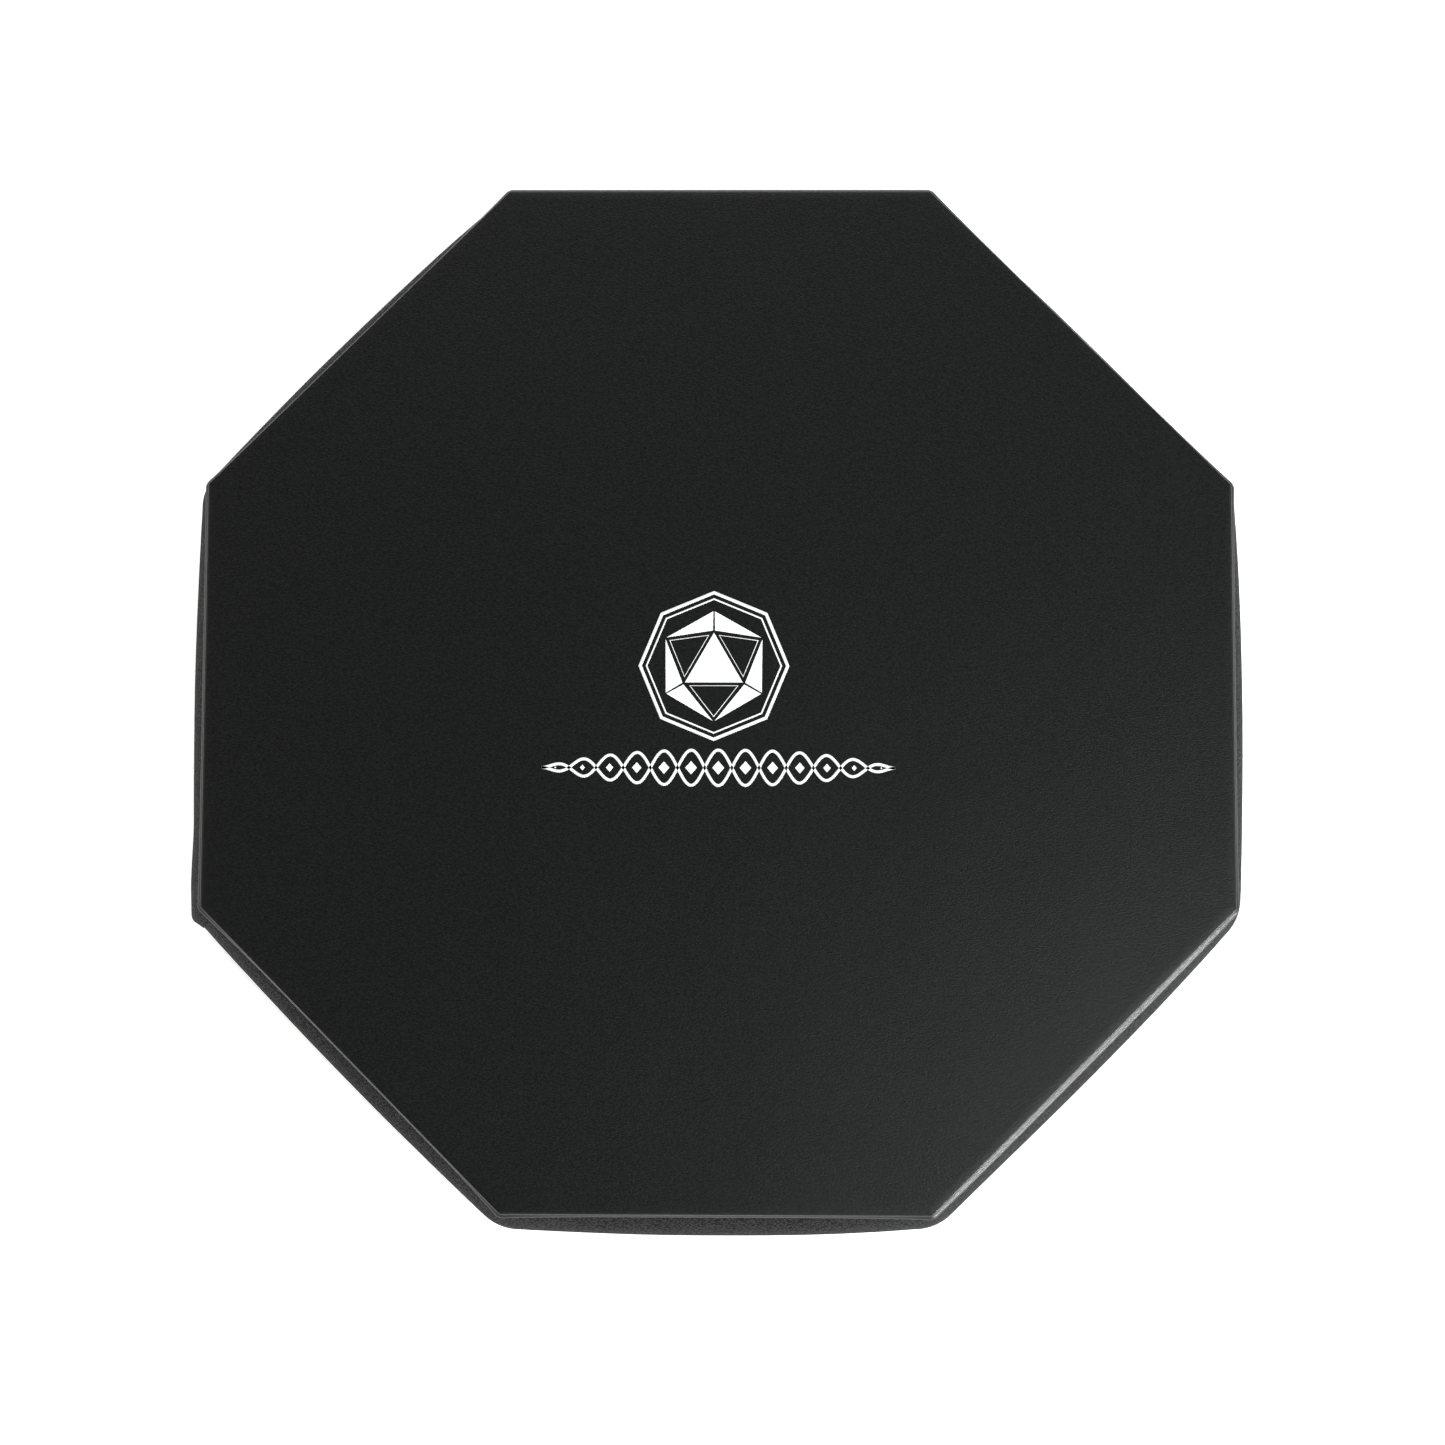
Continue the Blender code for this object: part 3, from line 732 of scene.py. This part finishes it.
def make_die():
    """The seven filled facets, each drawn in from its edges and given the ink's thickness."""
    shape = bmesh.new()
    near = [math.radians(90 + 120 * i) for i in range(3)]
    rim = [math.radians(30 + 60 * i) for i in range(6)]
    inner = [shape.verts.new(on_mark(DIE_RADIUS * NEAR_SHARE, turn)) for turn in near]
    outer = [shape.verts.new(on_mark(DIE_RADIUS, turn)) for turn in rim]
    shape.faces.new(inner)
    for i, tip in enumerate(inner):
        middle = 2 * i + 1
        shape.faces.new((tip, outer[middle % 6], outer[(middle + 1) % 6]))
        shape.faces.new((tip, outer[(middle - 1) % 6], outer[middle % 6]))
    shape.normal_update()
    bmesh.ops.inset_individual(shape, faces=shape.faces[:], thickness=FACET_GAP)
    facets = [face for face in shape.faces if len(face.verts) == 3]
    bmesh.ops.delete(shape, geom=[face for face in shape.faces if face not in facets], context="FACES")
    grown = bmesh.ops.extrude_face_region(shape, geom=shape.faces[:])["geom"]
    top = [item for item in grown if isinstance(item, bmesh.types.BMVert)]
    bmesh.ops.translate(shape, verts=top, vec=(0, 0, INK_THICK))
    bmesh.ops.recalc_face_normals(shape, faces=shape.faces)
    piece = empty_piece("mark_die")
    shape.to_mesh(piece.data)
    shape.free()
    ink.cover(piece)
    return piece


def make_dark_facet(index):
    """A thin line round one of the three facets that stay dark."""
    turns = (math.radians(90 + 120 * index), math.radians(210 + 120 * index), math.radians(150 + 120 * index))
    radii = (DIE_RADIUS * NEAR_SHARE, DIE_RADIUS * NEAR_SHARE, DIE_RADIUS)
    tips = [Vector((r * math.cos(t), r * math.sin(t), INK_THICK / 2)) for r, t in zip(radii, turns)]
    middle = sum(tips, Vector()) / 3
    piece = empty_piece(f"mark_die_line_{index + 1}")
    inset = [tuple(MARK_CENTRE + middle + (tip - middle) * DARK_FACET_SHARE) for tip in tips]
    piece.data.from_pydata(inset, [(0, 1), (1, 2), (2, 0)], [])
    return stroke.make(piece, ink, Width=DARK_FACET_LINE, Thickness=INK_THICK)


die = make_die()
die_lines = [make_dark_facet(index) for index in range(3)]
print(f"die: {len(die.data.polygons)} faces")

# %% [markdown]
# ## The printed band
#
# Under the die runs a band of two crossing waves with a diamond in every loop, narrowing towards both ends.
# It could be drawn as a long outline by hand. A tree is better, because the waves and the diamonds share the
# same few sizes: it bends a straight line into a wave, sweeps a stroke along it, and sets the diamonds on a
# row of points, each scaled by its place.

# %% The band's tree
def envelope(tree, place, power):
    """1 in the middle of the band and 0 at its ends, for a place from 0 to 1."""
    off_middle = tree.math("ABSOLUTE", tree.math("MULTIPLY_ADD", place, 2.0, -1.0))
    return tree.math("SUBTRACT", 1.0, tree.math("POWER", off_middle, power))


def add_wave(tree, upside):
    """A flat ribbon along a sine wave, as high as the envelope lets it be."""
    half = tree.math("MULTIPLY", tree.given["Length"], 0.5)
    start = tree.add("ShaderNodeCombineXYZ", [(0, tree.math("MULTIPLY", half, -1.0))])
    end = tree.add("ShaderNodeCombineXYZ", [(0, half)])
    line = tree.add("GeometryNodeCurvePrimitiveLine", [("Start", start), ("End", end)])
    line = tree.add("GeometryNodeResampleCurve", [(0, line), ("Count", 241)])
    place = tree.add("GeometryNodeSplineParameter")
    turn = tree.math("MULTIPLY", place, tree.math("MULTIPLY", tree.given["Waves"], math.pi))
    tallest = tree.math("MULTIPLY", tree.given["Height"], upside / 2)
    height = tree.math("MULTIPLY", tallest, envelope(tree, place, 2.5))
    across = tree.math("MULTIPLY", tree.math("SINE", turn), height)
    offset = tree.add("ShaderNodeCombineXYZ", [(1, across)])
    line = tree.add("GeometryNodeSetPosition", [(0, line), ("Offset", offset)])
    line = tree.add("GeometryNodeSetCurveNormal", [(0, line)], mode="Z_UP")
    profile = tree.add("GeometryNodeCurvePrimitiveQuadrilateral",
                       [("Width", tree.given["Stroke"]), ("Height", tree.given["Thickness"])])
    return tree.add("GeometryNodeCurveToMesh", [(0, line), (1, profile), ("Fill Caps", True)])


def add_diamonds(tree):
    """Diamonds on a row of points, one in the middle of each loop."""
    step = tree.math("DIVIDE", tree.given["Length"], tree.given["Waves"])
    first = tree.math("MULTIPLY", tree.math("SUBTRACT", step, tree.given["Length"]), 0.5)
    start = tree.add("ShaderNodeCombineXYZ", [(0, first)])
    offset = tree.add("ShaderNodeCombineXYZ", [(0, step)])
    row = tree.add("GeometryNodeMeshLine",
                   [("Count", tree.given["Waves"]), ("Start Location", start), ("Offset", offset)])
    diamond = tree.add("GeometryNodeMeshCylinder", [("Vertices", 4), ("Radius", tree.given["Diamond"]),
                                                    ("Depth", tree.given["Thickness"])])
    index = tree.math("ADD", tree.add("GeometryNodeInputIndex"), 0.5)
    size = envelope(tree, tree.math("DIVIDE", index, tree.given["Waves"]), 2.0)
    scale = tree.add("ShaderNodeCombineXYZ", [(0, size), (1, tree.math("MULTIPLY", size, 1.15)), (2, 1.0)])
    return tree.add("GeometryNodeInstanceOnPoints", [(0, row), ("Instance", diamond), ("Scale", scale)])


band = Tree("crossing_waves", Length="Float", Height="Float", Waves="Int", Stroke="Float", Thickness="Float",
            Diamond="Float")
band.finish(add_wave(band, 1.0), add_wave(band, -1.0), add_diamonds(band))
print(f"band tree: {len(band.group.nodes)} nodes")

# %% Print the mark
BAND_CENTRE = Vector((0.2 * MM, -21.6 * MM, INK_LOW + INK_THICK / 2))
band_piece = band.make(empty_piece("mark_band"), ink, Length=104 * MM, Height=10.5 * MM, Waves=13,
                       Stroke=0.85 * MM, Thickness=INK_THICK, Diamond=1.75 * MM)
band_piece.data.transform(Matrix.Translation(BAND_CENTRE))
for piece in (*frames, die, *die_lines, band_piece):
    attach(piece, "lid")
print(f"band: {len(band_piece.data.polygons)} faces")

# %% [markdown]
# ## The rolling mat
#
# The middle area's floor is velvet over foam, cut to drop in between the divider's walls. Its top edge is
# rounded where the velvet wraps the foam, and the middle is very slightly crowned and uneven.

# %% Make the mat
DIP_SIZE = 34 * MM
DIP_DEPTH = 0.25 * MM


def soft_rows(stations, reach, low, high, edge, corner, crown, seed):
    """Rows of a padded sheet: a flat underside, upright sides, a rounded edge and an uneven, crowned top."""
    rows = [stations.row(reach * share, low, corner * share) for share in (0.05, 0.9)]
    rows.append(stations.row(reach - 0.3 * MM, low, corner))
    rows.append(stations.row(reach, low + 0.3 * MM, corner))
    for out, up in quarter(reach - edge, high - crown - edge, edge, 0, 90, steps=5):
        rows.append(stations.row(out, up, max(SHARPEST, corner + out - reach)))
    for share in (0.97, 0.93, 0.86, 0.76, 0.64, 0.5, 0.34, 0.18, 0.05):
        row = stations.row((reach - edge) * share, high - crown * share**2, corner * share)
        row[:, 2] -= (0.5 + ripple(row, DIP_SIZE, 0.5, seed)) * DIP_DEPTH * min(1.0, 6 * (1 - share))
        rows.append(row)
    return rows


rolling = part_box("rolling_mat")
foam_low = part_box("rolling_foam")[0].z
mat = make_skin("rolling_mat_padded", soft_rows(Stations(3, 24), rolling[1].x, foam_low, rolling[1].z,
                                                edge=1.1 * MM, corner=1.5 * MM, crown=0.25 * MM, seed=2))
velvet.cover(mat)
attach(mat, "tray")
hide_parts("rolling_mat", "rolling_foam")
print(f"rolling mat: {len(mat.data.polygons)} faces")

# %% [markdown]
# ## Eight mats and eight partitions
#
# The ring of compartments repeats one mat and one partition eight times. One of each is modelled on the
# right, and a tree then copies it round the middle: eight points at the centre, each turned an eighth more
# than the last. The partitions start half a side further round, at a corner.

# %% The tree that repeats a piece round the middle
around = Tree("round_the_middle", Count="Int", Start="Float")
points = around.add("GeometryNodePoints", [("Count", around.given["Count"])])
each = around.math("DIVIDE", 2 * math.pi, around.given["Count"])
stepped = around.math("MULTIPLY", around.add("GeometryNodeInputIndex"), each)
turned = around.math("ADD", stepped, around.given["Start"])
around.finish(around.add("GeometryNodeInstanceOnPoints",
                         [(0, points), ("Instance", around.given["Geometry"]),
                          ("Rotation", around.add("ShaderNodeCombineXYZ", [(2, turned)]))]))


def rounded_block(name, outline, low, high, edge, segments=3):
    """A closed block over a flat outline, with rounded edges."""
    shape = bmesh.new()
    face = shape.faces.new([shape.verts.new((x, y, low)) for x, y in outline])
    grown = bmesh.ops.extrude_face_region(shape, geom=[face])["geom"]
    top = [item for item in grown if isinstance(item, bmesh.types.BMVert)]
    bmesh.ops.translate(shape, verts=top, vec=(0, 0, high - low))
    bmesh.ops.bevel(shape, geom=shape.edges[:], offset=edge, segments=segments, affect="EDGES", profile=0.5)
    bmesh.ops.recalc_face_normals(shape, faces=shape.faces)
    piece = empty_piece(name)
    shape.to_mesh(piece.data)
    shape.free()
    piece.data.shade_smooth()
    piece.data.set_sharp_from_angle(angle=math.radians(50))
    return piece


def replace_all_eight(piece, finish, start, node):
    around.make(piece, finish, Count=SIDES, Start=start)
    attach(piece, "tray")
    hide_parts(*(f"{node}_{side + 1}" for side in range(SIDES)))
    print(f"{piece.name}: {len(piece.data.polygons)} faces")


# %% Mats of the compartments
def side_ends(reach, room):
    """The ends of the right-hand side's stretch, each this far from its corner's middle plane."""
    half = reach * math.tan(HALF_SIDE) - room / math.cos(HALF_SIDE)
    return [(reach, -half), (reach, half)]


low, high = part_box("staging_mat_1")
room = (high.x * math.tan(HALF_SIDE) - high.y) * math.cos(HALF_SIDE)
outline = side_ends(low.x, room) + side_ends(high.x, room)[::-1]
replace_all_eight(rounded_block("compartment_mats", outline, low.z, high.z, 0.7 * MM), velvet, 0.0,
                  "staging_mat")


# %% Partitions
def extent(node, turn):
    """A node's lowest and highest corners along its own direction, this much counterclockwise of +X."""
    points = np.array([vertex.co for vertex in frame["nodes"][node].data.vertices])
    points = points @ np.array(Matrix.Rotation(turn, 3, "Z"))
    return points.min(axis=0), points.max(axis=0)


low, high = extent("partition_1", HALF_SIDE)
outline = [(low[0], low[1]), (high[0], low[1]), (high[0], high[1]), (low[0], high[1])]
replace_all_eight(rounded_block("partitions_velvet", outline, low[2], high[2], 0.8 * MM, segments=4), velvet,
                  HALF_SIDE, "partition")

# %% [markdown]
# ## Divider cover and linings
#
# The divider's cover is an upside-down channel of leatherette over eight boards, and the wall's lining is a
# ring of velvet-covered card. Both are closed sections carried round the octagon, with their top edges
# rounded. The lid's lining is velvet round a foam pad, and is made as the rolling mat is, but upside down.

# %% Make the divider's cover and the wall's lining
inner_stations = Stations(corner_steps=5, side_steps=12)


def make_ring(name, section, outer_reach, outer_corner, finish, node):
    """A closed (reach, height) section carried round the octagon. Its corners are tighter further in."""
    rows = [inner_stations.row(reach, height, max(SHARPEST, outer_corner + reach - outer_reach))
            for reach, height in section]
    ring = make_skin(name, rows, ring=True)
    finish.cover(ring)
    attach(ring, "tray")
    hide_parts(node)
    print(f"{name}: {len(ring.data.polygons)} faces")


DIVIDER_SHEET = 0.8 * MM
DIVIDER_ROUND = 1.2 * MM
cover_low, cover_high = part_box("divider_cover")
board_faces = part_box("divider_board_1")
outer, inner = cover_high.x, board_faces[0].x - GLUE_GAP - DIVIDER_SHEET
section = [(inner, cover_low.z), (inner, cover_low.z + 4 * MM)]
section += quarter(inner + DIVIDER_ROUND, cover_high.z - DIVIDER_ROUND, DIVIDER_ROUND, 180, 90)
section += quarter(outer - DIVIDER_ROUND, cover_high.z - DIVIDER_ROUND, DIVIDER_ROUND, 90, 0)
section += [(outer, cover_low.z + 4 * MM), (outer, cover_low.z)]
section += [(outer - DIVIDER_SHEET, cover_low.z), (outer - DIVIDER_SHEET, cover_high.z - DIVIDER_SHEET)]
section += [(inner + DIVIDER_SHEET, cover_high.z - DIVIDER_SHEET), (inner + DIVIDER_SHEET, cover_low.z)]
make_ring("divider_skin", section, outer, 2.5 * MM, smooth, "divider_cover")

LINING_SHEET = 0.8 * MM
lining_low, lining_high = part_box("wall_lining")
outer, inner, radius = lining_high.x, lining_high.x - LINING_SHEET, LINING_SHEET / 2
section = [(outer, lining_low.z)]
section += quarter(outer - radius, lining_high.z - radius, radius, 0, 90, steps=4)
section += quarter(inner + radius, lining_high.z - radius, radius, 90, 180, steps=4)
section += [(inner, lining_low.z)]
make_ring("wall_lining_velvet", section, outer, 1.2 * MM, velvet, "wall_lining")

# %% Make the lid's lining
cup_low, cup_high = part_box("lid_lining")
rows = soft_rows(inner_stations, cup_high.x, 0.0, cup_high.z - cup_low.z,
                 edge=1.6 * MM, corner=2.0 * MM, crown=0.3 * MM, seed=3)
for row in rows:
    row[:, 2] = cup_high.z - row[:, 2]
cup = make_skin("lid_lining_padded", rows)
velvet.cover(cup)
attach(cup, "lid")
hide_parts("lid_lining", "lid_pad")
print(f"lid lining: {len(cup.data.polygons)} faces")

# %% [markdown]
# ## Finishes for the hidden pieces
#
# The boards, the cards and the base's cover keep their modelled shapes and only need their finishes. The
# other nodes get theirs too, though a skin is shown in place of each.

# %% Cover the carried-over nodes
FINISH_BY_SLOT = dict(smooth_leatherette=smooth, pebbled_leatherette=pebbled, velvet=velvet, foam=foam,
                      fibreboard=board, grey_card=card)
slot_of = {entry["node"]: entry["material_slot"] for entry in frame["record"]["subparts"]}
for name, node in frame["nodes"].items():
    FINISH_BY_SLOT[slot_of[name]].cover(node)
print(f"{len(frame['nodes'])} nodes finished")

# %% [markdown]
# ## Floor, light and camera
#
# The box lies on a white table that glows a little itself, so its shadow stays faint. Four broad lights
# stand round it, about 40 degrees up, and light its padded sides. A softbox above the front right brightens
# that part of the lid. A strip stands just above the table beyond the front right side, lower than the
# closed lid's top. So it can't glare on the lid's flat face, and the lid's turned edge there catches it as
# a bright line.
#
# The camera looks almost straight down from a little in front and to the right. How far away it stands is
# chosen: a nearer or a farther camera would see the lid nearly the same.

# %% Floor and light
TABLE_HALF = 3.0
TABLE_GLOW = 0.4
ROOM_GLOW = 0.05


def make_floor():
    corners = [(x * TABLE_HALF, y * TABLE_HALF, 0) for x, y in ((-1, -1), (1, -1), (1, 1), (-1, 1))]
    mesh = bpy.data.meshes.new("table_top")
    mesh.from_pydata(corners, [], [(0, 1, 2, 3)])
    table = bpy.data.objects.new("table_top", mesh)
    bpy.context.scene.collection.objects.link(table)
    finish = Finish("white_table", roughness=0.9)
    finish.shader.inputs["Base Color"].default_value = (0.95, 0.95, 0.95, 1)
    finish.shader.inputs["Specular IOR Level"].default_value = 0.1
    finish.shader.inputs["Emission Color"].default_value = (1, 1, 1, 1)
    finish.shader.inputs["Emission Strength"].default_value = TABLE_GLOW
    finish.cover(table)


def add_light(name, place, target, size, power, colour=(1, 1, 1), height=None):
    """A round lamp, or a strip when it has a height."""
    data = bpy.data.lights.new(name, "AREA")
    data.shape = "RECTANGLE" if height else "DISK"
    data.size = size
    data.size_y = height or size
    data.energy = power
    data.color = colour
    lamp = bpy.data.objects.new(name, data)
    lamp.location = place
    lamp.rotation_euler = (Vector(target) - Vector(place)).to_track_quat("-Z", "Y").to_euler()
    bpy.context.scene.collection.objects.link(lamp)


make_floor()
WHITE = (1, 1, 1)
WARM_WHITE = (1, 0.99, 0.94)
COOL_WHITE = (0.93, 1, 0.98)
FILLS = dict(right=(34, WHITE), back=(42, WHITE), left=(28, WARM_WHITE), front=(22, WHITE))
FILL_AWAY = 2.0
FILL_HIGH = 1.7
FILL_SIZE = 2.0
for index, (side, (power, colour)) in enumerate(FILLS.items()):
    turn = index * math.pi / 2
    place = (FILL_AWAY * math.cos(turn), FILL_AWAY * math.sin(turn), FILL_HIGH)
    add_light("fill_" + side, place, (0, 0, 0), FILL_SIZE, power, colour)
SOFTBOX_PLACE = (0.42, -0.36, 1.0)
SOFTBOX_TARGET = (0.1, -0.1, 0)
add_light("softbox", SOFTBOX_PLACE, SOFTBOX_TARGET, 0.33, 7, COOL_WHITE)
STRIP_AWAY = 0.62
STRIP_MIDDLE = 22 * MM
STRIP_HIGH = 34 * MM
strip_place = (STRIP_AWAY, -STRIP_AWAY, STRIP_MIDDLE)
add_light("low_strip", strip_place, (0, 0, STRIP_MIDDLE), 0.6, 16, height=STRIP_HIGH)
world = bpy.data.worlds.new("room")
bpy.context.scene.world = world
world.use_nodes = True
world.node_tree.nodes["Background"].inputs["Color"].default_value = (1.0, 1.0, 1.0, 1)
world.node_tree.nodes["Background"].inputs["Strength"].default_value = ROOM_GLOW
bpy.context.scene.view_settings.view_transform = "Standard"
print(f"table, {len(FILLS)} fill lights, a softbox, a low strip and a pale room")

# %% Camera
CAMERA_HEIGHT = 946 * MM
CAMERA_PLACE = Vector((15.4 * MM, -103.9 * MM, lid_high + CAMERA_HEIGHT))
AIM = Vector((1.4 * MM, -8.2 * MM, lid_high))
ROLL = math.radians(0.12)
SENSOR = 36
LENS = 80.4
data = bpy.data.cameras.new("camera")
data.sensor_width = SENSOR
data.lens = LENS
camera = bpy.data.objects.new("camera", data)
forward = (AIM - CAMERA_PLACE).normalized()
up = Vector((1, 0, 0)).cross(forward).normalized()
across = forward.cross(up)
turn = Matrix((across, up, -forward)).transposed() @ Matrix.Rotation(ROLL, 3, "Z")
camera.matrix_world = Matrix.Translation(CAMERA_PLACE) @ turn.to_4x4()
bpy.context.scene.collection.objects.link(camera)
bpy.context.scene.camera = camera
print(f"camera {CAMERA_HEIGHT / MM:.0f} mm above the lid")
